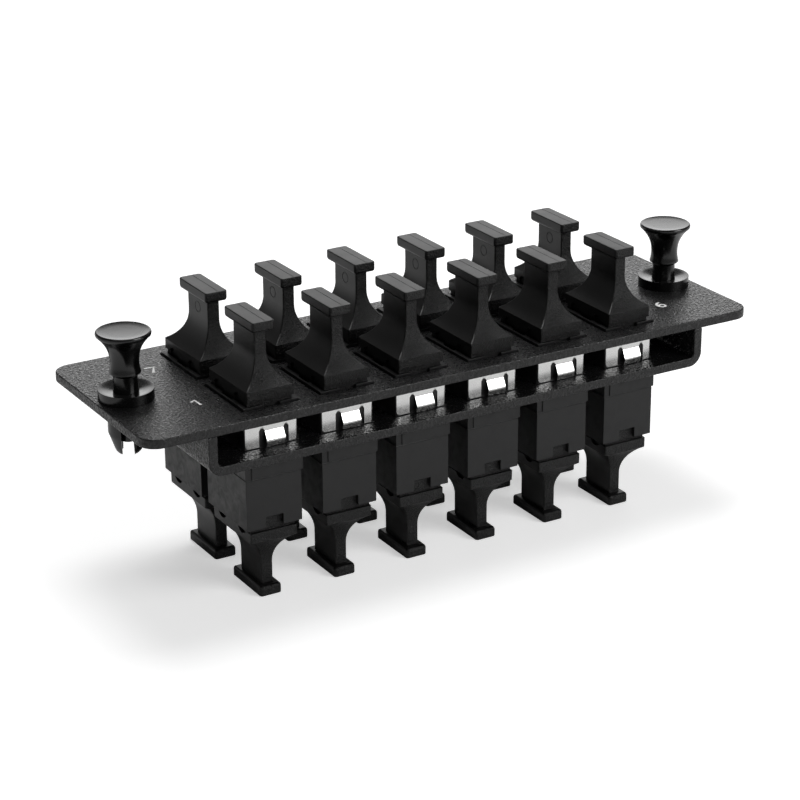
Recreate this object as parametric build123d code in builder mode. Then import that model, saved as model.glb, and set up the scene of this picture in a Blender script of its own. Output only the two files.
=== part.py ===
from build123d import *
import os

# Fibre adapter panel for twelve multi-fibre push-on ports, standing on its rear dust caps.
# X runs along the panel, Y across it, Z up. Ports 1 to 6 are the row at -Y, 7 to 12 the row at +Y.
# The origin is the centre of the footprint, on the surface that the rear caps stand on.

# Sheet metal: a flat faceplate and a U-shaped channel welded under it
panel_length = 109.0
panel_depth = 35.0
plate_thickness = 1.5
plate_corner = 3.0
fastener_inset = 5.0        # from the faceplate's ends to the fasteners' axes
channel_thickness = 1.5
channel_inset = 1.9         # from a fastener's barrel to the channel's wall
channel_drop = 4.9          # clear height between the faceplate and the channel's floor
channel_bend = 0.8          # inside radius of the two bends

# Port pattern
columns = 6
rows = 2
column_pitch = 13.0
row_pitch = 15.4
cutout_clearance = 0.2      # round the adapter's front half, in both sheets

# Adapter housing: two moulded halves welded at the joint line
rear_width = 9.4            # X size of the rear half
rear_depth = 13.1           # Y size of the rear half
rear_height = 8.25          # from the rear rim to the joint line
shoulder_height = 3.4       # from the joint line to the channel's underside
shoulder_side = 0.45        # how far the shoulder stands out of the front half at +X
shoulder_pad = 0.2          # how far the two pads stand out of the front half
pad_inset = 1.0             # bare corner beside each pad, at -X
front_width = 9.2           # X size of the front half
front_depth = 12.7          # Y size of the front half
rim_proud = 0.3             # how far the front rim stands above the faceplate

# Ports at both ends of the housing, with a keyway in one wide wall
port_side_wall = 0.75       # wall beside the port in the wide sides of the front half
port_end_wall = 0.45        # wall beside the port in its narrow sides
port_deep = 7.0
keyway_width = 3.1
keyway_deep = 0.4
notch_width = 3.0           # notch in the rim of both narrow walls
notch_deep = 1.75

# Latch body trapped between the housing's halves
body_lip = 0.1              # how far it is wider than the port on each side
body_clearance = 0.03
ferrule_window = 6.6
ferrule_height = 2.7
arm_spacing = 8.0           # between the inner faces of a pair of arms
arm_thickness = 0.6
arm_width = 2.4
arm_length = 4.4
hook_reach = 0.5
hook_height = 1.2

# Spring clip: stainless strip round three sides of the front half
strip = 0.25
clip_height = 4.15
clip_seat = 0.1             # from the channel's floor to the clip's lower edge
clip_bend = 0.5             # size of the two bends, outside
clip_corner = 0.6           # corners at the legs' free ends
clip_end_gap = 0.1          # from the housing's open side to the legs' free edges
clip_pocket = 0.2           # depth of the pocket under each leg
clip_back_pocket = 0.4      # depth of the pocket under the clip's back
tongue_width = 3.0
tongue_shift = 0.35         # the tongue sits nearer to the clip's back
tongue_slot = 0.9
tongue_height = 2.9
tongue_lip = 1.0            # height of the lip bent back below the fold
tongue_spring = 0.75        # how far the fold stands out
lip_return = 0.35

# Dust cap: T-shaped grip, flared foot, collar and a hollow plug
grip_length = 9.5
grip_width = 3.7
grip_thickness = 1.65
grip_neck_length = 6.9
grip_neck_width = 2.0
grip_neck_height = 3.35
flare_height = 5.0
collar_length = 12.5
collar_width = 7.95
collar_height = 1.65
collar_gap = 0.7            # between the collar and the housing's rim
plug_clearance = 0.1
plug_wall = 0.75
plug_floor = 0.75           # how far the plug's hollow reaches into the collar

# Push-pull fastener: split grommet snapped into the faceplate, plunger pulled out
flange_radius = 4.25
flange_thickness = 1.6
flange_dish = 0.45          # depth of the conical dish that takes the plunger's foot
barrel_radius = 3.0
barrel_groove = 0.25        # how far the barrel is thinner inside the faceplate
barrel_length = 3.8         # straight part below the faceplate
leg_length = 3.4            # tapered part
leg_round = 0.45            # height of the blunt ends of the legs
leg_end_radius = 1.97
leg_wall = 0.15             # wall left at the very end of the legs
leg_slot = 1.8
leg_turn = -27.0            # the slot's turn about the axis
hole_clearance = 0.05
stem_radius = 1.85
stem_clearance = 0.1
stop_radius = 2.15          # collar that keeps the stem in the grommet
stop_height = 0.7
tip_radius = 1.3
tip_length = 6.9            # reaches between the legs even when pulled out
plunger_travel = 2.6
foot_radius = 2.42
foot_height = 0.4
waist_radius = 2.2
waist_height = 2.75
head_radius = 4.2
head_flare = 3.25
head_rim = 0.55

# Widths that follow
fastener_spacing = panel_length - 2 * fastener_inset
channel_width = fastener_spacing - 2 * (barrel_radius + channel_inset)
port_height = front_width - 2 * port_side_wall
port_width = front_depth - 2 * port_end_wall

# Heights that follow, from the ground up
cap_height = collar_height + flare_height + grip_neck_height + grip_thickness
rear_rim = cap_height + collar_gap
joint_line = rear_rim + rear_height
channel_bottom = joint_line + shoulder_height
channel_floor = channel_bottom + channel_thickness
plate_bottom = channel_floor + channel_drop
plate_top = plate_bottom + plate_thickness
front_rim = plate_top + rim_proud

cutout_width = front_width + 2 * cutout_clearance
cutout_depth = front_depth + 2 * cutout_clearance


def save(piece, name):
    piece.label = name
    export_step(piece, f"parts/{name}.step")


os.makedirs("parts", exist_ok=True)

# Faceplate with the port cutouts and one round hole for each grommet
hole_radius = barrel_radius - barrel_groove + hole_clearance
with BuildPart() as faceplate:
    with BuildSketch(Plane.XY.offset(plate_bottom)):
        RectangleRounded(panel_length, panel_depth, plate_corner)
        with GridLocations(column_pitch, row_pitch, columns, rows):
            Rectangle(cutout_width, cutout_depth, mode=Mode.SUBTRACT)
        with GridLocations(fastener_spacing, 0, 2, 1):
            Circle(hole_radius, mode=Mode.SUBTRACT)
    extrude(amount=plate_thickness)
save(faceplate.part, "faceplate")

# Channel folded from one strip; its side walls butt against the faceplate
half_channel = channel_width / 2
inner_half = half_channel - channel_thickness
with BuildPart() as channel:
    with BuildSketch(Plane.XZ):
        with BuildLine():
            FilletPolyline(
                (-half_channel, plate_bottom),
                (-half_channel, channel_bottom),
                (half_channel, channel_bottom),
                (half_channel, plate_bottom),
                radius=channel_bend + channel_thickness,
            )
            Line((half_channel, plate_bottom), (inner_half, plate_bottom))
            FilletPolyline(
                (inner_half, plate_bottom),
                (inner_half, channel_floor),
                (-inner_half, channel_floor),
                (-inner_half, plate_bottom),
                radius=channel_bend,
            )
            Line((-inner_half, plate_bottom), (-half_channel, plate_bottom))
        make_face()
    extrude(amount=panel_depth / 2, both=True)
    with BuildSketch(Plane.XY.offset(channel_bottom)):
        with GridLocations(column_pitch, row_pitch, columns, rows):
            Rectangle(cutout_width, cutout_depth)
    extrude(amount=channel_thickness, mode=Mode.SUBTRACT)
save(channel.part, "channel")

# Adapter housing about its own axis, at its real height
body_width = port_height + 2 * body_lip
body_depth = port_width + 2 * body_lip
body_bottom = rear_rim + port_deep
body_top = front_rim - port_deep
clip_bottom = channel_floor + clip_seat
clip_inner_bend = clip_bend - (2 - 2 ** 0.5) * strip
with BuildPart() as housing:
    # Rear half, up to the joint line
    with BuildSketch(Plane.XY.offset(rear_rim)):
        Rectangle(rear_width, rear_depth)
    extrude(amount=rear_height)
    # Shoulder that stops the housing under the channel, with a pad on both narrow sides
    with BuildSketch(Plane.XY.offset(joint_line)):
        with Locations((shoulder_side / 2, 0)):
            Rectangle(front_width + shoulder_side, front_depth)
        with Locations(((shoulder_side + pad_inset) / 2, 0)):
            Rectangle(front_width + shoulder_side - pad_inset, front_depth + 2 * shoulder_pad)
    extrude(amount=shoulder_height)
    # Front half, through both sheets
    with BuildSketch(Plane.XY.offset(channel_bottom)):
        Rectangle(front_width, front_depth)
    extrude(amount=front_rim - channel_bottom)
    # Pocket round three sides for the clip
    with BuildSketch(Plane.XY.offset(clip_bottom)) as pocket:
        Rectangle(2 * front_width, 2 * front_depth)
        with Locations((-front_width / 2 - clip_back_pocket, 0)):
            Rectangle(2 * front_width, front_depth - 2 * clip_pocket, mode=Mode.SUBTRACT)
        chamfer(pocket.vertices().group_by(Axis.X)[1], clip_inner_bend)
    extrude(amount=clip_height, mode=Mode.SUBTRACT)
    # Ports from both ends and the wider chamber for the latch body between them
    with BuildSketch(Plane.XY.offset(rear_rim)):
        Rectangle(port_height, port_width)
        with Locations((-port_height / 2, 0)):
            Rectangle(2 * keyway_deep, keyway_width)
    extrude(amount=front_rim - rear_rim, mode=Mode.SUBTRACT)
    with BuildSketch(Plane.XY.offset(body_bottom)):
        Rectangle(body_width, body_depth)
    extrude(amount=body_top - body_bottom, mode=Mode.SUBTRACT)
    # Notches in the rims of the narrow walls
    with BuildSketch(Plane.XZ):
        with Locations((0, rear_rim), (0, front_rim)):
            Rectangle(notch_width, 2 * notch_deep)
    extrude(amount=rear_depth, both=True, mode=Mode.SUBTRACT)

# Latch body: ferrule window and a pair of hooked arms reaching into each port
block_width = body_width - 2 * body_clearance
block_depth = body_depth - 2 * body_clearance
block_bottom = body_bottom + body_clearance
block_top = body_top
arm_inner = arm_spacing / 2
arm_outer = arm_inner + arm_thickness
arm_top = block_top + arm_length
with BuildPart() as latch_body:
    with BuildSketch(Plane.XY.offset(block_bottom)):
        Rectangle(block_width, block_depth)
        Rectangle(ferrule_height, ferrule_window, mode=Mode.SUBTRACT)
    extrude(amount=block_top - block_bottom)
    with BuildSketch(Plane.YZ):
        with BuildLine():
            Polyline(
                (arm_inner, block_top),
                (arm_outer, block_top),
                (arm_outer, arm_top),
                (arm_inner, arm_top),
                (arm_inner - hook_reach, arm_top - hook_height / 2),
                (arm_inner - hook_reach, arm_top - hook_height),
                (arm_inner, arm_top - hook_height),
                close=True,
            )
        make_face()
    extrude(amount=arm_width / 2, both=True)
    mirror(about=Plane.XZ)
    mirror(about=Plane.XY.offset((block_bottom + block_top) / 2))

# Spring clip, open towards -X
clip_back = front_width / 2 - clip_back_pocket + strip
clip_side = front_depth / 2 - clip_pocket + strip
clip_end = -front_width / 2 + clip_end_gap
slot_top = clip_bottom + tongue_height
with BuildPart() as clip:
    with BuildSketch(Plane.XY.offset(clip_bottom)):
        with BuildLine():
            Polyline(
                (clip_end, -clip_side),
                (clip_back - clip_bend, -clip_side),
                (clip_back, clip_bend - clip_side),
                (clip_back, clip_side - clip_bend),
                (clip_back - clip_bend, clip_side),
                (clip_end, clip_side),
            )
            offset(amount=-strip, side=Side.LEFT)
        make_face()
    extrude(amount=clip_height)
    # Window punched in both legs, wider than the tongue by a slot on each side
    with BuildSketch(Plane.XZ):
        with Locations((tongue_shift, clip_bottom)):
            Rectangle(tongue_width + 2 * tongue_slot, 2 * tongue_height)
    extrude(amount=front_depth, both=True, mode=Mode.SUBTRACT)
    free_corners = clip.edges().filter_by(Axis.Y).group_by(Axis.X)[0]
    chamfer(free_corners, clip_corner)
    # Tongues sprung outwards, each with a lip bent back just above the channel's floor
    with BuildSketch(Plane.YZ.offset(tongue_shift)):
        with BuildLine():
            Polyline(
                (clip_side, slot_top),
                (clip_side + tongue_spring, clip_bottom + tongue_lip),
                (clip_side + tongue_spring - lip_return, clip_bottom),
                (clip_side + tongue_spring - lip_return - strip, clip_bottom),
                (clip_side + tongue_spring - strip, clip_bottom + tongue_lip),
                (clip_side - strip, slot_top),
                close=True,
            )
        make_face()
        mirror(about=Plane.YZ)
    extrude(amount=tongue_width / 2, both=True)

# Dust cap for a front port, about its own axis, with its collar's lower face at zero
flare_top = collar_height + flare_height
neck_top = flare_top + grip_neck_height
plug_length = collar_gap + port_deep
plug_width = port_height - 2 * plug_clearance
plug_depth = port_width - 2 * plug_clearance


def flare_outline(foot, neck):
    """Half outline of the foot from its foot width up to the neck, swung as one tangent arc."""
    TangentArc((neck / 2, flare_top), (foot / 2, collar_height), tangent=(0, -1))
    Polyline(
        (foot / 2, collar_height),
        (0, collar_height),
        (0, neck_top),
        (neck / 2, neck_top),
        (neck / 2, flare_top),
    )


with BuildPart() as cap:
    # Neck and foot: the shape seen along Y cut to the shape seen along X
    with BuildSketch(Plane.XZ):
        with BuildLine():
            flare_outline(collar_width, grip_neck_width)
        make_face()
        mirror(about=Plane.YZ)
    extrude(amount=collar_length / 2, both=True)
    with BuildSketch(Plane.YZ):
        with BuildLine():
            flare_outline(collar_length, grip_neck_length)
        make_face()
        mirror(about=Plane.YZ)
    extrude(amount=collar_width / 2, both=True, mode=Mode.INTERSECT)
    # Grip bar
    with BuildSketch(Plane.XY.offset(neck_top)):
        Rectangle(grip_width, grip_length)
    extrude(amount=grip_thickness)
    # Collar
    with BuildSketch(Plane.XY):
        Rectangle(collar_width, collar_length)
    extrude(amount=collar_height)
    # Hollow plug that lands on the latch body
    with BuildSketch(Plane.XY.offset(-plug_length)):
        Rectangle(plug_width, plug_depth)
    extrude(amount=plug_length)
    with BuildSketch(Plane.XY.offset(-plug_length)):
        Rectangle(plug_width - 2 * plug_wall, plug_depth - 2 * plug_wall)
    extrude(amount=plug_length + plug_floor, mode=Mode.SUBTRACT)

# Grommet: dished flange, barrel snapped through the faceplate and two tapered legs
flange_top = plate_top + flange_thickness
leg_top = plate_bottom - barrel_length
leg_tip = leg_top - leg_length
bore_radius = stem_radius + stem_clearance
chamber_radius = stop_radius + stem_clearance
chamber_top = plate_top + flange_thickness / 2
tip_bore_radius = tip_radius + stem_clearance
with BuildPart() as grommet:
    with BuildSketch(Plane.XZ):
        with BuildLine():
            Polyline(
                (bore_radius, chamber_top),
                (bore_radius, flange_top - flange_dish),
                (flange_radius, flange_top),
                (flange_radius, plate_top),
                (barrel_radius - barrel_groove, plate_top),
                (barrel_radius - barrel_groove, plate_bottom),
                (barrel_radius, plate_bottom),
                (barrel_radius, leg_top),
                (leg_end_radius, leg_tip + leg_round),
                (tip_bore_radius + leg_wall, leg_tip),
                (tip_bore_radius, leg_tip),
                (tip_bore_radius, leg_top),
                (chamber_radius, leg_top),
                (chamber_radius, chamber_top),
                close=True,
            )
        make_face()
    revolve(axis=Axis.Z)
    with BuildSketch(Plane.XZ.rotated((0, 0, leg_turn))):
        with Locations((0, leg_tip)):
            Rectangle(leg_slot, 2 * (plate_bottom - leg_tip))
    extrude(amount=2 * barrel_radius, both=True, mode=Mode.SUBTRACT)

# Plunger, pulled out until its stop meets the roof of the grommet's chamber
foot_bottom = flange_top - flange_dish + plunger_travel
foot_top = foot_bottom + foot_height
waist_top = foot_top + waist_height
head_bottom = waist_top + head_flare
stop_top = chamber_top
with BuildPart() as plunger:
    with BuildSketch(Plane.XZ):
        with BuildLine():
            Polyline(
                (0, stop_top - stop_height - tip_length),
                (tip_radius, stop_top - stop_height - tip_length),
                (tip_radius, stop_top - stop_height),
                (stop_radius, stop_top - stop_height),
                (stop_radius, stop_top),
                (stem_radius, stop_top),
                (stem_radius, foot_bottom),
                (foot_radius, foot_top),
                (waist_radius, waist_top),
                (waist_radius + (head_radius - waist_radius) / 3, (waist_top + head_bottom) / 2),
                (head_radius, head_bottom),
                (head_radius, head_bottom + head_rim),
                (0, head_bottom + head_rim),
                close=True,
            )
        make_face()
    revolve(axis=Axis.Z)

# Port 1 is the first of the row at -Y
column_start = -(columns - 1) / 2 * column_pitch
row_start = -(rows - 1) / 2 * row_pitch
for row in range(rows):
    for column in range(columns):
        port = row * columns + column + 1
        x = column_start + column * column_pitch
        y = row_start + row * row_pitch
        save(Pos(x, y, 0) * housing.part, f"adapter_{port}")
        save(Pos(x, y, 0) * clip.part, f"clip_{port}")
        save(Pos(x, y, front_rim + collar_gap) * cap.part, f"front_cap_{port}")
        save(Pos(x, y, rear_rim - collar_gap) * Rot(0, 180, 0) * cap.part, f"rear_cap_{port}")
for column in range(columns):
    x = column_start + column * column_pitch
    bodies = [Pos(x, row_start + row * row_pitch, 0) * latch_body.part for row in range(rows)]
    save(Compound(children=bodies), f"latch_bodies_{column + 1}")
for side, name in ((-1, "left"), (1, "right")):
    x = side * fastener_spacing / 2
    save(Pos(x, 0, 0) * grommet.part, f"grommet_{name}")
    save(Pos(x, 0, 0) * plunger.part, f"plunger_{name}")
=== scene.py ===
import math
import bmesh
import bpy
from mathutils import Matrix, Vector


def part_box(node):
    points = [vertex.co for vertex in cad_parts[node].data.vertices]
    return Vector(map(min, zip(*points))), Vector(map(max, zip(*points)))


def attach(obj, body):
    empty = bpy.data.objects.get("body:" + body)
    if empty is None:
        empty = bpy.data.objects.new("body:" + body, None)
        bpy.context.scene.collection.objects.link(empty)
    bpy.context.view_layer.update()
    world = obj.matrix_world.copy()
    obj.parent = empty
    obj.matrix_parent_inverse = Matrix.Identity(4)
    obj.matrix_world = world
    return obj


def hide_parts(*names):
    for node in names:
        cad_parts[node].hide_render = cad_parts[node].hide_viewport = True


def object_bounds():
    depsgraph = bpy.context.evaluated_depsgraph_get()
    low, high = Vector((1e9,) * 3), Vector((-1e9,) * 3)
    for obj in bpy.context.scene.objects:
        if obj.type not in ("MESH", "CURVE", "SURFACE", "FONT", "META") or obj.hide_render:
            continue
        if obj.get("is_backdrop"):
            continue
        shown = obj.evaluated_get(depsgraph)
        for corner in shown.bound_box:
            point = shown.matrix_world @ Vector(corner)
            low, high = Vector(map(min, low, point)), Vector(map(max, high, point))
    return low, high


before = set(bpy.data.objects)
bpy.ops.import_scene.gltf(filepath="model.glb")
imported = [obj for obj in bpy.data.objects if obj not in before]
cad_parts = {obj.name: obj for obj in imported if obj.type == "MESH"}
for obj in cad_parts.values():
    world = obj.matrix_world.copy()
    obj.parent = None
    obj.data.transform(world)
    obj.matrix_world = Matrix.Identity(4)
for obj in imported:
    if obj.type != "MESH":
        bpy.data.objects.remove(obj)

cad_low, cad_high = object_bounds()

# Faceplate: flat steel sheet, punched, deburred and powder coated black. The
# coat has a fine sandy grain, which scatters light to a mid grey at low angles,
# and it rounds the sheet's edges.
mm = 0.001
sheet_round = 0.18 * mm


def linear(code):
    """sRGB hex code as a linear RGBA colour."""
    parts = [int(code[i:i + 2], 16) / 255 for i in (1, 3, 5)]
    return tuple(c / 12.92 if c <= 0.04045 else ((c + 0.055) / 1.055) ** 2.4
                 for c in parts) + (1.0,)


def add_node(tree, kind, settings={}, links={}):
    """Adds one shader node, sets its sockets or fields, and links other nodes' outputs to it."""
    node = tree.nodes.new(kind)
    for name, value in settings.items():
        if name in node.inputs:
            node.inputs[name].default_value = value
        else:
            setattr(node, name, value)
    for name, output in links.items():
        tree.links.new(output, node.inputs[name])
    return node


def new_material(name):
    """An empty node material with its output, its Object coordinates and its Principled shader."""
    material = bpy.data.materials.new(name)
    material.use_nodes = True
    tree = material.node_tree
    tree.nodes.clear()
    place = add_node(tree, "ShaderNodeTexCoord").outputs["Object"]
    shader = add_node(tree, "ShaderNodeBsdfPrincipled")
    add_node(tree, "ShaderNodeOutputMaterial", links={"Surface": shader.outputs["BSDF"]})
    return material, tree, place, shader


def deselect():
    """Leaves edit mode and deselects everything."""
    if bpy.context.object and bpy.context.object.mode != "OBJECT":
        bpy.ops.object.mode_set(mode="OBJECT")
    bpy.ops.object.select_all(action="DESELECT")


def take(piece):
    """Selects one object alone and makes it active."""
    deselect()
    piece.hide_set(False)
    piece.select_set(True)
    bpy.context.view_layer.objects.active = piece


def shade(piece, angle=40):
    """Shades a piece smooth up to an angle, with its flat faces kept flat."""
    take(piece)
    bpy.ops.object.shade_smooth_by_angle(angle=math.radians(angle))
    weighted = piece.modifiers.new("flat faces", "WEIGHTED_NORMAL")
    weighted.keep_sharp = True
    bpy.ops.object.modifier_apply(modifier=weighted.name)


def finish_edges(piece, width, segments=2, angle=32, clamp=True):
    """Rounds the edges that are sharper than an angle by a small bevel and shades the piece."""
    take(piece)
    bevel = piece.modifiers.new("eased edges", "BEVEL")
    bevel.width = width
    bevel.segments = segments
    bevel.limit_method = "ANGLE"
    bevel.angle_limit = math.radians(angle)
    bevel.miter_outer = "MITER_ARC"
    bevel.use_clamp_overlap = clamp
    bevel.loop_slide = False
    bpy.ops.object.modifier_apply(modifier=bevel.name)
    shade(piece, angle + 8)


def eased_copy(node, width, segments=2, clamp=True):
    """A copy of a CAD node with its points merged, its triangles paired and its edges rounded."""
    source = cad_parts[node]
    piece = bpy.data.objects.new(node + "_piece", source.data.copy())
    bpy.context.collection.objects.link(piece)
    piece.data.materials.clear()
    take(piece)
    bpy.ops.object.mode_set(mode="EDIT")
    bpy.ops.mesh.select_all(action="SELECT")
    bpy.ops.mesh.remove_doubles(threshold=0.002 * mm)
    # Only triangles that lie in one plane are paired, whatever the shape of their pair
    bpy.ops.mesh.tris_convert_to_quads(face_threshold=math.radians(1),
                                       shape_threshold=math.radians(180))
    bpy.ops.mesh.select_all(action="SELECT")
    bpy.ops.mesh.normals_make_consistent(inside=False)
    bpy.ops.object.mode_set(mode="OBJECT")
    finish_edges(piece, width, segments, clamp=clamp)
    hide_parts(node)
    return piece


def dress(piece, material, body):
    """Gives a finished piece its material and its body."""
    piece.data.materials.clear()
    piece.data.materials.append(material)
    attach(piece, body)


# Powder coat: a sandy grain that pits the skin, pale and glossy where it stands
# proud, so that it glitters near the light, with slow waves in its gloss
grain_size, grain_height = 0.42 * mm, 0.17 * mm
wave_length = 12 * mm
coat, tree, place, shader = new_material("powder_coat_fine_texture")
grain = add_node(tree, "ShaderNodeTexNoise",
                 {"Scale": 1 / grain_size, "Detail": 2.0, "Roughness": 0.5}, {"Vector": place})
waves = add_node(tree, "ShaderNodeTexNoise", {"Scale": 1 / wave_length, "Detail": 1.0},
                 {"Vector": place})
tone = add_node(tree, "ShaderNodeValToRGB", links={"Fac": grain.outputs["Fac"]})
tone.color_ramp.elements[0].position = 0.42
tone.color_ramp.elements[0].color = linear("#060606")
tone.color_ramp.elements[1].position = 0.66
tone.color_ramp.elements[1].color = linear("#1a1a1b")
gloss = add_node(tree, "ShaderNodeMapRange", {"To Min": 0.55, "To Max": 0.45},
                 {"Value": waves.outputs["Fac"]})
rough = add_node(tree, "ShaderNodeMapRange", {"From Min": 0.38, "From Max": 0.62, "To Max": 0.2},
                 {"Value": grain.outputs["Fac"], "To Min": gloss.outputs["Result"]})
bump = add_node(tree, "ShaderNodeBump", {"Strength": 1.0, "Distance": grain_height},
                {"Height": grain.outputs["Fac"]})
tree.links.new(tone.outputs["Color"], shader.inputs["Base Color"])
tree.links.new(rough.outputs["Result"], shader.inputs["Roughness"])
tree.links.new(bump.outputs["Normal"], shader.inputs["Normal"])
shader.inputs["IOR"].default_value = 1.5

faceplate = eased_copy("faceplate", sheet_round, 3, clamp=False)
dress(faceplate, coat, "panel")

# Channel: one strip of the same sheet, folded twice and spot welded under the
# faceplate. Its floor stops the adapters' shoulders from below.
channel = eased_copy("channel", sheet_round, 3)
dress(channel, coat, "panel")

# Adapter housings: two halves moulded in black plastic and welded at a joint
# line. The mould's sides are finely spark-eroded, which gives a satin skin with
# faint flow marks.
skin_grain, skin_height = 0.22 * mm, 0.02 * mm
flow_width = 1.6 * mm
moulded, tree, place, shader = new_material("moulded_black_plastic_satin")
# The real skin's grain is near 0.05 mm, too fine to show, so it is drawn coarser
skin = add_node(tree, "ShaderNodeTexNoise", {"Scale": 1 / skin_grain, "Detail": 2.0},
                {"Vector": place})
flow = add_node(tree, "ShaderNodeTexNoise",
                {"Scale": 1 / flow_width, "Detail": 3.0, "Distortion": 0.8}, {"Vector": place})
tone = add_node(tree, "ShaderNodeValToRGB", links={"Fac": flow.outputs["Fac"]})
tone.color_ramp.elements[0].position = 0.3
tone.color_ramp.elements[0].color = linear("#0a0a0b")
tone.color_ramp.elements[1].position = 0.75
tone.color_ramp.elements[1].color = linear("#111112")
rough = add_node(tree, "ShaderNodeMapRange",
                 {"From Min": 0.3, "From Max": 0.7, "To Min": 0.32, "To Max": 0.55},
                 {"Value": flow.outputs["Fac"]})
bump = add_node(tree, "ShaderNodeBump", {"Strength": 0.4, "Distance": skin_height},
                {"Height": skin.outputs["Fac"]})
tree.links.new(tone.outputs["Color"], shader.inputs["Base Color"])
tree.links.new(rough.outputs["Result"], shader.inputs["Roughness"])
tree.links.new(bump.outputs["Normal"], shader.inputs["Normal"])
shader.inputs["IOR"].default_value = 1.5

ports = range(1, 13)
housing_round = 0.1 * mm
joint_above = 8.25 * mm
weld_groove = 0.12 * mm


def cut_away(piece, cutter, name):
    """Cuts one object's shape out of a piece, and removes that object."""
    take(piece)
    cut = piece.modifiers.new(name, "BOOLEAN")
    cut.operation = "DIFFERENCE"
    cut.object = cutter
    bpy.ops.object.modifier_apply(modifier=cut.name)
    bpy.data.objects.remove(cutter)


def placed_copy(form, name, spot, upside_down=False):
    """A copy of a finished form with a mesh of its own, moved to its place in the mesh."""
    piece = bpy.data.objects.new(name, form.data.copy())
    bpy.context.collection.objects.link(piece)
    if upside_down:
        piece.data.transform(Matrix.Rotation(math.pi, 4, "Y"))
    piece.data.transform(Matrix.Translation(spot))
    return piece


first_housing = eased_copy("adapter_1", housing_round)
low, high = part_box("adapter_1")
# Weld line between the halves, a hairline groove across both narrow sides
for side in (low.y, high.y):
    deselect()
    bpy.ops.mesh.primitive_cylinder_add(
        vertices=16, radius=weld_groove, depth=high.x - low.x + 1 * mm,
        location=((low.x + high.x) / 2, side, low.z + joint_above),
        rotation=(0, math.pi / 2, 0))
    cut_away(first_housing, bpy.context.object, "weld line")
shade(first_housing)
dress(first_housing, moulded, "panel")
for port in ports[1:]:
    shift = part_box(f"adapter_{port}")[0] - low
    housing = placed_copy(first_housing, f"adapter_{port}_piece", shift)
    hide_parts(f"adapter_{port}")
    dress(housing, moulded, "panel")

# Latch bodies: seen only with a cap off, deep in the ports. They keep the shape
# of their solids, in the housings' plastic.
for column in range(1, 7):
    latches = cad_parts[f"latch_bodies_{column}"]
    for entry in latches.material_slots:
        entry.material = moulded

# Spring clips: bright stainless strip, stamped and folded round three sides of
# each housing. Two arched slots free a tongue in each leg, which is sprung
# outwards and has a lip turned back in.
streak_spacing, streak_stretch = 1.6 * mm, 14.0
steel, tree, place, shader = new_material("stainless_spring_strip_bright")
# Bright rolled strip: a soft mirror with fine streaks along the strip, 0.1 mm apart
stretch = add_node(tree, "ShaderNodeMapping", {"Scale": (1.0, 1.0, streak_stretch)},
                   {"Vector": place})
lines = add_node(tree, "ShaderNodeTexNoise", {"Scale": 1 / streak_spacing, "Detail": 3.0},
                 {"Vector": stretch.outputs["Vector"]})
tone = add_node(tree, "ShaderNodeValToRGB", links={"Fac": lines.outputs["Fac"]})
tone.color_ramp.elements[0].color = linear("#dcdcdb")
tone.color_ramp.elements[1].color = linear("#f2f2f1")
rough = add_node(tree, "ShaderNodeMapRange", {"To Min": 0.18, "To Max": 0.30},
                 {"Value": lines.outputs["Fac"]})
tree.links.new(tone.outputs["Color"], shader.inputs["Base Color"])
tree.links.new(rough.outputs["Result"], shader.inputs["Roughness"])
shader.inputs["Metallic"].default_value = 1.0

# Sizes of the clip, with levels above its lower edge and places along its legs
strip = 0.25 * mm
clip_bend = 0.5 * mm
clip_corner = 0.6 * mm
tongue_spring, lip_stand = 0.75 * mm, 0.4 * mm
fold_level, fold_round = 1.0 * mm, 0.22 * mm
bend_level = 2.45 * mm
slot_level = 2.9 * mm
slot_spans = ((-2.15 * mm, -1.2 * mm), (1.95 * mm, 2.8 * mm))
arch_shares, arch_drop = (0, 0.28, 0.72, 1), 0.35 * mm
tongue_span = (slot_spans[0][1], slot_spans[1][0])
hair = 0.02 * mm


def pick(kind, test):
    """In edit mode, selects the vertices, edges or faces that pass the test, and no others."""
    bpy.ops.mesh.select_all(action="DESELECT")
    kinds = ("verts", "edges", "faces")
    bpy.context.tool_settings.mesh_select_mode = tuple(kind == k for k in kinds)
    mesh = bmesh.from_edit_mesh(bpy.context.object.data)
    mesh.normal_update()
    for part in getattr(mesh, kind):
        if kind == "verts":
            part.select = test(part.co)
        elif kind == "edges":
            part.select = test(part.verts[0].co, part.verts[1].co)
        else:
            part.select = test(part.calc_center_median(), part.normal)
    mesh.select_flush_mode()
    bmesh.update_edit_mesh(bpy.context.object.data)


def centre_of(node):
    """Middle of a CAD node's box."""
    low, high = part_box(node)
    return (low + high) / 2


def start_block(low, high):
    """A new block between two corners, open for editing."""
    deselect()
    bpy.ops.mesh.primitive_cube_add(size=1, location=(Vector(low) + Vector(high)) / 2,
                                    scale=Vector(high) - Vector(low))
    block = bpy.context.object
    bpy.ops.object.transform_apply(location=True, rotation=True, scale=True)
    bpy.ops.object.mode_set(mode="EDIT")
    return block


axis = centre_of("front_cap_1")
low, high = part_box("clip_1")
clip_end, clip_back = low.x - axis.x, high.x - axis.x
clip_side = (high.y - low.y) / 2 - tongue_spring
clip_height = high.z - low.z
clip_form = start_block((clip_end, -clip_side, 0), (clip_back, clip_side, clip_height))
pick("faces", lambda centre, normal: abs(normal.z) > 0.9 or normal.x < -0.9)
bpy.ops.mesh.delete(type="FACE")
pick("edges", lambda a, b: min(a.x, b.x) > clip_back - hair and abs(a.z - b.z) > hair)
bpy.ops.mesh.bevel(offset=clip_bend, segments=5, affect="EDGES")
pick("verts", lambda spot: spot.x < clip_end + hair)
bpy.ops.mesh.bevel(offset=clip_corner, segments=3, affect="VERTICES")
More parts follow.
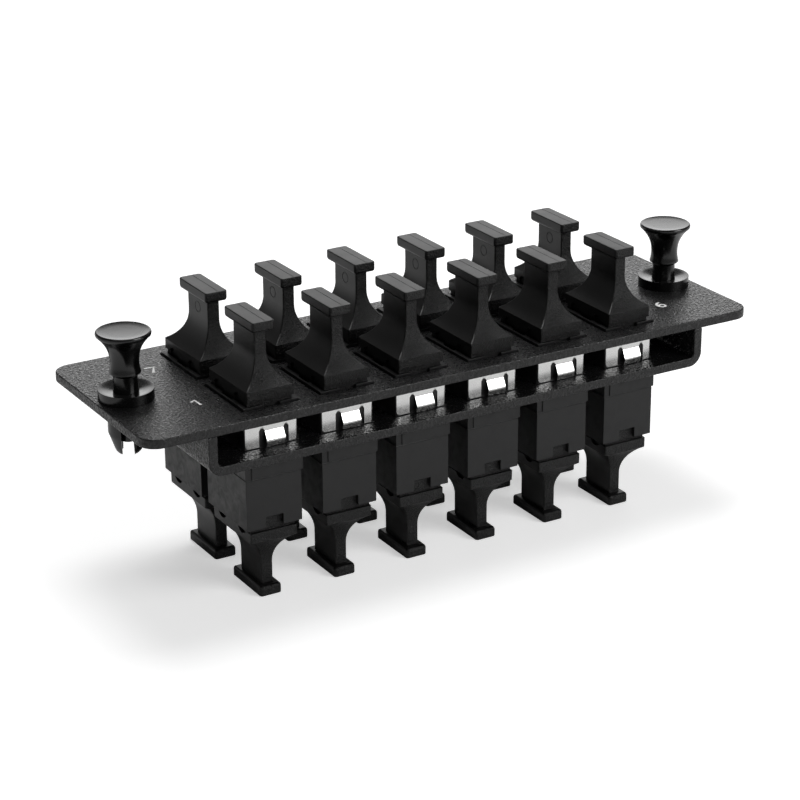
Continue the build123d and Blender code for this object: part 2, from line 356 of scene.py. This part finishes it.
# Lines across the legs where the slots, the folds and the arched slot tops will be
for start, end in slot_spans:
    for share in arch_shares:
        bpy.ops.mesh.select_all(action="SELECT")
        bpy.ops.mesh.bisect(plane_co=(start + share * (end - start), 0, 0), plane_no=(1, 0, 0))
for level in (fold_level, bend_level, slot_level):
    bpy.ops.mesh.select_all(action="SELECT")
    bpy.ops.mesh.bisect(plane_co=(0, 0, level), plane_no=(0, 0, 1))
pick("faces", lambda centre, normal: abs(normal.y) > 0.9 and centre.z < slot_level
     and any(start < centre.x < end for start, end in slot_spans))
bpy.ops.mesh.delete(type="FACE")
pick("verts", lambda spot: abs(spot.z - slot_level) < hair
     and any(min(abs(spot.x - start), abs(spot.x - end)) < hair for start, end in slot_spans))
bpy.ops.transform.translate(value=(0, 0, -arch_drop))
# Tongues: the fold stands out furthest and the lip below it comes part of the way back
for side in (-1, 1):
    for level, reach in ((fold_level, tongue_spring), (0, lip_stand)):
        pick("verts", lambda spot: spot.y * side > 0 and abs(spot.z - level) < hair
             and tongue_span[0] - hair < spot.x < tongue_span[1] + hair)
        bpy.ops.transform.translate(value=(0, side * reach, 0))
pick("edges", lambda a, b: min(abs(a.y), abs(b.y)) > clip_side + 0.9 * tongue_spring)
bpy.ops.mesh.bevel(offset=fold_round, segments=3, affect="EDGES")
bpy.ops.object.mode_set(mode="OBJECT")
wall = clip_form.modifiers.new("strip", "SOLIDIFY")
wall.thickness = strip
wall.offset = -1
bpy.ops.object.modifier_apply(modifier=wall.name)
finish_edges(clip_form, 0.04 * mm)
for port in ports:
    axis = centre_of(f"front_cap_{port}")
    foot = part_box(f"clip_{port}")[0].z
    clip = placed_copy(clip_form, f"clip_{port}_piece", (axis.x, axis.y, foot))
    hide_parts(f"clip_{port}")
    dress(clip, steel, "panel")
bpy.data.objects.remove(clip_form)

# Dust caps: one soft black moulding each, with a T-shaped grip, a foot that
# flares out on four sides, a collar and a hollow plug. The narrow sides are
# spark-eroded to a fine sparkling grain, the wide sides and the grip are smooth.
grit_size, grit_height = 0.3 * mm, 0.25 * mm
flow_width = 3 * mm
cap_plastic, tree, place, shader = new_material("moulded_black_polyethylene")
facing = add_node(tree, "ShaderNodeNewGeometry")
split = add_node(tree, "ShaderNodeSeparateXYZ", links={"Vector": facing.outputs["True Normal"]})
narrow = add_node(tree, "ShaderNodeMath", {"operation": "ABSOLUTE"})
tree.links.new(split.outputs["Y"], narrow.inputs[0])
eroded = add_node(tree, "ShaderNodeMapRange", {"From Min": 0.35, "From Max": 0.7},
                  {"Value": narrow.outputs[0]})
# The real grit is near 0.1 mm, too fine to show, so it is drawn coarser
grit = add_node(tree, "ShaderNodeTexNoise",
                {"Scale": 1 / grit_size, "Detail": 2.0, "Roughness": 0.7}, {"Vector": place})
flow = add_node(tree, "ShaderNodeTexNoise", {"Scale": 1 / flow_width, "Detail": 3.0},
                {"Vector": place})
tone = add_node(tree, "ShaderNodeValToRGB", links={"Fac": flow.outputs["Fac"]})
tone.color_ramp.elements[0].position = 0.3
tone.color_ramp.elements[0].color = linear("#050505")
tone.color_ramp.elements[1].position = 0.75
tone.color_ramp.elements[1].color = linear("#090909")
satin = add_node(tree, "ShaderNodeMapRange", {"To Min": 0.32, "To Max": 0.42},
                 {"Value": flow.outputs["Fac"]})
rough = add_node(tree, "ShaderNodeMapRange", {"To Max": 0.42},
                 {"Value": eroded.outputs["Result"], "To Min": satin.outputs["Result"]})
bump = add_node(tree, "ShaderNodeBump", {"Distance": grit_height},
                {"Height": grit.outputs["Fac"], "Strength": eroded.outputs["Result"]})
tree.links.new(tone.outputs["Color"], shader.inputs["Base Color"])
tree.links.new(rough.outputs["Result"], shader.inputs["Roughness"])
tree.links.new(bump.outputs["Normal"], shader.inputs["Normal"])
shader.inputs["IOR"].default_value = 1.45

# Sizes of the cap, across X and Y, and its heights from the foot of the collar
collar_size, collar_height = (7.95 * mm, 12.5 * mm), 1.65 * mm
neck_size, neck_height = (2.0 * mm, 6.9 * mm), 3.35 * mm
grip_size, grip_height = (3.7 * mm, 9.5 * mm), 1.65 * mm
plug_size, plug_length = (7.5 * mm, 11.6 * mm), 7.7 * mm
plug_wall, plug_floor = 0.75 * mm, 0.75 * mm
flare_height, flare_steps = 5.0 * mm, 12
neck_foot = collar_height + flare_height
neck_top = neck_foot + neck_height
grip_top = neck_top + grip_height
ridge_round, grip_round, top_round, cap_round = 0.22 * mm, 0.5 * mm, 0.16 * mm, 0.1 * mm
scallop_radius, scallop_depth = 1.5 * mm, 0.9 * mm
scallop_out, scallop_drop = 3.25 * mm, 0.75 * mm
line_start, line_end, line_reach = 0.3 * mm, 0.4 * mm, 4.55 * mm
line_depth, line_round = 0.04 * mm, 0.03 * mm
ring_radius, ring_groove, ring_drop = 0.85 * mm, 0.07 * mm, 1.9 * mm


def extend(size, rise):
    """In edit mode, extrudes the selected level face by a rise and sizes it anew about the axis."""
    bpy.ops.mesh.extrude_region_move(TRANSFORM_OT_translate={"value": (0, 0, rise)})
    mesh = bmesh.from_edit_mesh(bpy.context.object.data)
    chosen = [v.co for v in mesh.verts if v.select]
    wide = max(v.x for v in chosen) - min(v.x for v in chosen)
    deep = max(v.y for v in chosen) - min(v.y for v in chosen)
    level = chosen[0].z
    bpy.ops.transform.resize(value=(size[0] / wide, size[1] / deep, 1),
                             center_override=(0, 0, level))


def flare_size(share):
    """Size of the flare at a share of its height, each side a circular arc tangent to the neck."""
    sizes = []
    for neck, foot in zip(neck_size, collar_size):
        reach = (foot - neck) / 2
        radius = (reach ** 2 + flare_height ** 2) / (2 * reach)
        drop = flare_height * (1 - share)
        sizes.append(neck + 2 * (radius - math.sqrt(radius ** 2 - drop ** 2)))
    return sizes


half_collar = Vector((collar_size[0] / 2, collar_size[1] / 2, 0))
cap_form = start_block(-half_collar, half_collar + Vector((0, 0, collar_height)))
pick("faces", lambda centre, normal: normal.z > 0.9)
for step in range(1, flare_steps + 1):
    extend(flare_size(step / flare_steps), flare_height / flare_steps)
extend(neck_size, neck_height)
extend(grip_size, 0)
extend(grip_size, grip_height)
# Hollow plug below the collar
plug_bore = [side - 2 * plug_wall for side in plug_size]
pick("faces", lambda centre, normal: normal.z < -0.9 and centre.z < hair)
extend(plug_size, 0)
extend(plug_size, -plug_length)
extend(plug_bore, 0)
extend(plug_bore, plug_length + plug_floor)
# Corners of the collar, ridges of the flare and edges of the neck
pick("edges", lambda a, b: abs(a.z - b.z) > hair and min(a.z, b.z) > -hair
     and max(a.z, b.z) < neck_top + hair and min(abs(a.y), abs(b.y)) > neck_size[1] / 2 - hair)
bpy.ops.mesh.bevel(offset=ridge_round, segments=3, affect="EDGES")
# Corners and lower edges of the grip, and then its upper edges
pick("edges", lambda a, b: neck_top - hair < min(a.z, b.z) < grip_top - hair
     and (min(abs(a.x), abs(b.x)) > grip_size[0] / 2 - hair
          or min(abs(a.y), abs(b.y)) > grip_size[1] / 2 - hair))
bpy.ops.mesh.bevel(offset=grip_round, segments=5, affect="EDGES")
pick("edges", lambda a, b: min(a.z, b.z) > grip_top - hair)
bpy.ops.mesh.bevel(offset=top_round, segments=3, affect="EDGES")
bpy.ops.object.mode_set(mode="OBJECT")
# Two scallops in the foot of the collar on both wide faces, for a fingernail or a blade
for side in (-1, 1):
    for end in (-1, 1):
        deselect()
        bpy.ops.mesh.primitive_cylinder_add(
            vertices=40, radius=scallop_radius, depth=scallop_depth,
            location=(side * collar_size[0] / 2, end * scallop_out, -scallop_drop),
            rotation=(0, math.pi / 2, 0))
        cut_away(cap_form, bpy.context.object, "scallop")
finish_edges(cap_form, cap_round)
# Mould line along the top of the grip, cut as a hairline
line_maker = start_block((line_start, -line_reach, grip_top - line_depth),
                         (line_end, line_reach, grip_top + 1 * mm))
pick("edges", lambda a, b: abs(a.z - b.z) > hair)
bpy.ops.mesh.bevel(offset=line_round, segments=2, affect="EDGES")
bpy.ops.object.mode_set(mode="OBJECT")
cut_away(cap_form, line_maker, "mould line")
shade(cap_form)

for port in ports:
    centre = centre_of(f"rear_cap_{port}")
    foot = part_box(f"rear_cap_{port}")[1].z - plug_length
    cap = placed_copy(cap_form, f"rear_cap_{port}_piece", (centre.x, centre.y, foot),
                      upside_down=True)
    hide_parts(f"rear_cap_{port}")
    dress(cap, cap_plastic, f"rear_cap_{port}")
for port in ports:
    if port == 7:
        # The caps of the back row show the ring of an ejector pin on the neck's -X side
        deselect()
        bpy.ops.mesh.primitive_torus_add(
            major_radius=ring_radius, minor_radius=ring_groove, major_segments=40,
            minor_segments=8, rotation=(0, math.pi / 2, 0),
            location=(-neck_size[0] / 2, 0, neck_top - ring_drop))
        cut_away(cap_form, bpy.context.object, "ejector ring")
        shade(cap_form)
    centre = centre_of(f"front_cap_{port}")
    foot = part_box(f"front_cap_{port}")[0].z + plug_length
    cap = placed_copy(cap_form, f"front_cap_{port}_piece", (centre.x, centre.y, foot))
    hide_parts(f"front_cap_{port}")
    dress(cap, cap_plastic, f"front_cap_{port}")
bpy.data.objects.remove(cap_form)

# Grommets: split bushings snapped through the faceplate, moulded in glossy
# black nylon, with a dished flange, a groove for the sheet and two blunt legs.
flow_width = 4 * mm
nylon, tree, place, shader = new_material("moulded_black_nylon_gloss")
# A polished mould gives deep black with clear, soft-edged reflections
flow = add_node(tree, "ShaderNodeTexNoise", {"Scale": 1 / flow_width, "Detail": 2.0},
                {"Vector": place})
tone = add_node(tree, "ShaderNodeValToRGB", links={"Fac": flow.outputs["Fac"]})
tone.color_ramp.elements[0].color = linear("#040404")
tone.color_ramp.elements[1].color = linear("#070707")
rough = add_node(tree, "ShaderNodeMapRange", {"To Min": 0.16, "To Max": 0.24},
                 {"Value": flow.outputs["Fac"]})
tree.links.new(tone.outputs["Color"], shader.inputs["Base Color"])
tree.links.new(rough.outputs["Result"], shader.inputs["Roughness"])
shader.inputs["IOR"].default_value = 1.53

for side in ("left", "right"):
    grommet = eased_copy(f"grommet_{side}", 0.12 * mm, 3)
    dress(grommet, nylon, "panel")

# Plungers: turned shapes in the same nylon, drawn out of their grommets here. A
# waisted grip flares to a dished head, and the stem below ends in a pin that
# reaches between the legs.
low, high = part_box("plunger_left")
plate_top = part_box("faceplate")[1].z
head_top = high.z - plate_top
pin_low = low.z - plate_top
pin_radius, pin_chamfer = 1.3 * mm, 0.25 * mm
stop_radius, stop_low, stop_high = 2.15 * mm, 0.1 * mm, 0.8 * mm
stem_radius = 1.85 * mm
flange_rise, stem_shown = 2.15 * mm, 1.6 * mm
foot_level = flange_rise + stem_shown
foot_radius, foot_flare, foot_band = 2.42 * mm, 0.38 * mm, 0.46 * mm
waist_radius, waist_rise = 2.19 * mm, 1.95 * mm
head_radius, flare_rise, flare_power, flare_steps = 4.2 * mm, 6.35 * mm, 2.4, 12
rim_step, dish_edge, dish_depth = 0.04 * mm, 0.04 * mm, 0.1 * mm
turn_steps = 72

# Outline from the tip of the pin to the middle of the head, as radius and height above the plate
outline = [
    (0, pin_low), (pin_radius - pin_chamfer, pin_low), (pin_radius, pin_low + pin_chamfer),
    (pin_radius, stop_low), (stop_radius, stop_low), (stop_radius, stop_high),
    (stem_radius, stop_high), (stem_radius, foot_level),
    (foot_radius, foot_level + foot_flare), (foot_radius, foot_level + foot_band),
]
for share in (0.25, 0.5, 0.75):
    outline.append((foot_radius - (foot_radius - waist_radius) * math.sin(share * math.pi / 2),
                    foot_level + foot_band + share * (waist_rise - foot_band)))
for step in range(flare_steps + 1):
    share = step / flare_steps
    outline.append((waist_radius + (head_radius - rim_step - waist_radius) * share ** flare_power,
                    foot_level + waist_rise + share * (flare_rise - waist_rise)))
for inset, drop in ((0, 0.36 * mm), (0.05 * mm, 0.12 * mm), (0.2 * mm, 0), (0.35 * mm, 0.02 * mm)):
    outline.append((head_radius - inset, head_top - drop))
for share in (0.8, 0.6, 0.4, 0.2, 0):
    outline.append((share * head_radius, head_top - dish_edge - dish_depth * (1 - share ** 2)))

# One point is drawn out along the outline and spun round the axis
deselect()
bpy.ops.mesh.primitive_plane_add(size=1 * mm)
plunger_form = bpy.context.object
bpy.ops.object.mode_set(mode="EDIT")
pick("verts", lambda spot: True)
bpy.ops.mesh.merge(type="CENTER")
bpy.ops.transform.translate(value=(outline[0][0], 0, outline[0][1]))
for here, there in zip(outline, outline[1:]):
    move = (there[0] - here[0], 0, there[1] - here[1])
    bpy.ops.mesh.extrude_region_move(TRANSFORM_OT_translate={"value": move})
bpy.ops.mesh.select_all(action="SELECT")
bpy.ops.mesh.spin(steps=turn_steps, angle=2 * math.pi, center=(0, 0, 0), axis=(0, 0, 1))
bpy.ops.mesh.select_all(action="SELECT")
bpy.ops.mesh.remove_doubles(threshold=0.003 * mm)
bpy.ops.mesh.normals_make_consistent(inside=False)
bpy.ops.object.mode_set(mode="OBJECT")
finish_edges(plunger_form, 0.06 * mm, angle=40)
for side in ("left", "right"):
    centre = centre_of(f"plunger_{side}")
    plunger = placed_copy(plunger_form, f"plunger_{side}_piece", (centre.x, centre.y, plate_top))
    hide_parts(f"plunger_{side}")
    dress(plunger, nylon, f"plunger_{side}")
bpy.data.objects.remove(plunger_form)

# Port numbers: plain digits printed in pale ink beside the end ports of both
# rows, so that they read from the -Y side.
wear_size = 0.3 * mm
ink, tree, place, shader = new_material("screen_print_ink_white")
# Thin ink over the grain: white, a little greyer where it lies thin, and matt
wear = add_node(tree, "ShaderNodeTexNoise", {"Scale": 1 / wear_size, "Detail": 2.0},
                {"Vector": place})
tone = add_node(tree, "ShaderNodeValToRGB", links={"Fac": wear.outputs["Fac"]})
tone.color_ramp.elements[0].position = 0.3
tone.color_ramp.elements[0].color = linear("#d2d2d1")
tone.color_ramp.elements[1].position = 0.6
tone.color_ramp.elements[1].color = linear("#fbfbfa")
tree.links.new(tone.outputs["Color"], shader.inputs["Base Color"])
shader.inputs["Roughness"].default_value = 0.6

# Each digit is one stroke through points in millimetres about its middle
ink_width, ink_depth = 0.42 * mm, 0.02 * mm
one = ((-0.45, 0.55), (0.38, 1.07), (0.45, -1.08))
two = ((-0.6, 0.7), (-0.35, 1.0), (0.1, 1.12), (0.5, 0.9), (0.6, 0.5), (0.35, 0),
       (-0.6, -1.0), (0.65, -1.0))
six = ((0.45, 1.0), (0.05, 0.95), (-0.4, 0.55), (-0.6, 0), (-0.55, -0.6), (-0.2, -1.0),
       (0.3, -1.0), (0.62, -0.6), (0.5, -0.1), (0.1, 0.1), (-0.35, -0.05), (-0.58, -0.35))
seven = ((-0.75, 1.17), (0.78, 1.05), (-0.27, -1.17))
numbers = (("1", one, -41.7, -7.35), ("6", six, 42.75, -8.4), ("7", seven, -41.4, 8.37),
           ("12_ten", one, 41.6, 8.4), ("12_two", two, 43.2, 8.4))
for name, strokes, x, y in numbers:
    curve = bpy.data.curves.new(name, "CURVE")
    curve.dimensions = "3D"
    curve.bevel_depth = ink_width / 2
    curve.use_fill_caps = True
    stroke = curve.splines.new("POLY")
    stroke.points.add(len(strokes) - 1)
    for point, (across, up) in zip(stroke.points, strokes):
        point.co = ((x + across) * mm, (y + up) * mm, plate_top, 1)
    number = bpy.data.objects.new(f"port_number_{name}", curve)
    bpy.context.collection.objects.link(number)
    take(number)
    bpy.ops.object.convert(target="MESH")
    # The round stroke is pressed flat onto the plate
    bpy.ops.object.mode_set(mode="EDIT")
    pick("verts", lambda spot: True)
    bpy.ops.transform.resize(value=(1, 1, ink_depth / ink_width),
                             center_override=(0, 0, plate_top))
    bpy.ops.object.mode_set(mode="OBJECT")
    dress(number, ink, "panel")

# Studio: pale paper floor under soft boxes, seen through a long lens from the
# front left and a little above.
paper, tree, place, shader = new_material("studio_paper_white")
shader.inputs["Base Color"].default_value = linear("#f2f2f2")
shader.inputs["Roughness"].default_value = 0.9
shader.inputs["Specular IOR Level"].default_value = 0.0
# The camera sees the paper lifted towards white, the more the further it lies from the panel
rays = add_node(tree, "ShaderNodeLightPath")
glow = add_node(tree, "ShaderNodeEmission")
away = add_node(tree, "ShaderNodeVectorMath", {"operation": "LENGTH"})
tree.links.new(place, away.inputs[0])
sweep = add_node(tree, "ShaderNodeMapRange",
                 {"From Min": 0.15, "From Max": 0.6, "To Min": 0.5, "To Max": 0.95},
                 {"Value": away.outputs["Value"]})
lifted = add_node(tree, "ShaderNodeMath", {"operation": "MULTIPLY"})
tree.links.new(rays.outputs["Is Camera Ray"], lifted.inputs[0])
tree.links.new(sweep.outputs["Result"], lifted.inputs[1])
tree.links.new(lifted.outputs[0], glow.inputs["Strength"])
both = add_node(tree, "ShaderNodeAddShader")
tree.links.new(shader.outputs["BSDF"], both.inputs[0])
tree.links.new(glow.outputs["Emission"], both.inputs[1])
tree.links.new(both.outputs["Shader"], tree.nodes["Material Output"].inputs["Surface"])
deselect()
bpy.ops.mesh.primitive_plane_add(size=6, location=(0, 0, cad_low.z))
floor = bpy.context.object
floor.name = "studio_floor"
floor.data.materials.append(paper)
floor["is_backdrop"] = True

camera_data = bpy.data.cameras.new("camera")
camera = bpy.data.objects.new("camera", camera_data)
bpy.context.collection.objects.link(camera)
camera.location = (-184.97 * mm, -311.29 * mm, plate_top + 134.59 * mm)
camera.rotation_euler = [math.radians(a) for a in (68.401, 0.342, -30.635)]
camera_data.sensor_width = 36
camera_data.lens = 109.3
camera_data.shift_x = -0.0032
camera_data.shift_y = -0.01453
camera_data.clip_start = 0.01
bpy.context.scene.camera = camera

lamp_aim = Vector((0, 0, 0.02))


def soft_box(name, spot, size, watts):
    """A rectangular area lamp at a spot, turned to the object."""
    data = bpy.data.lights.new(name, "AREA")
    data.shape = "RECTANGLE"
    data.size, data.size_y = size
    data.energy = watts
    lamp = bpy.data.objects.new(name, data)
    bpy.context.collection.objects.link(lamp)
    lamp.location = spot
    lamp.rotation_euler = (lamp_aim - Vector(spot)).to_track_quat("-Z", "Y").to_euler()


soft_box("key_box", (0.32, -0.47, 0.36), (0.34, 0.34), 1.9)
soft_box("back_box", (0.42, 0.70, 0.20), (0.7, 0.36), 1.3)
soft_box("top_box", (0.08, 0.2, 0.72), (0.36, 0.36), 2.7)

# The room is dim, paler towards the horizon, and white where the camera sees it
world = bpy.data.worlds.new("studio_world")
bpy.context.scene.world = world
world.use_nodes = True
tree = world.node_tree
tree.nodes.clear()
sky = add_node(tree, "ShaderNodeTexCoord")
height = add_node(tree, "ShaderNodeSeparateXYZ", links={"Vector": sky.outputs["Generated"]})
fade = add_node(tree, "ShaderNodeValToRGB", links={"Fac": height.outputs["Z"]})
fade.color_ramp.elements[0].position = 0.0
fade.color_ramp.elements[0].color = (0.35, 0.35, 0.35, 1)
fade.color_ramp.elements[1].position = 0.5
fade.color_ramp.elements[1].color = (0.1, 0.1, 0.1, 1)
rays = add_node(tree, "ShaderNodeLightPath")
dim = add_node(tree, "ShaderNodeBackground", {"Strength": 1.0}, {"Color": fade.outputs["Color"]})
white = add_node(tree, "ShaderNodeBackground", {"Color": (1, 1, 1, 1), "Strength": 1.0})
mix = add_node(tree, "ShaderNodeMixShader", links={"Fac": rays.outputs["Is Camera Ray"]})
tree.links.new(dim.outputs["Background"], mix.inputs[1])
tree.links.new(white.outputs["Background"], mix.inputs[2])
add_node(tree, "ShaderNodeOutputWorld", links={"Surface": mix.outputs["Shader"]})
bpy.context.scene.view_settings.view_transform = "Standard"

low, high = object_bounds()
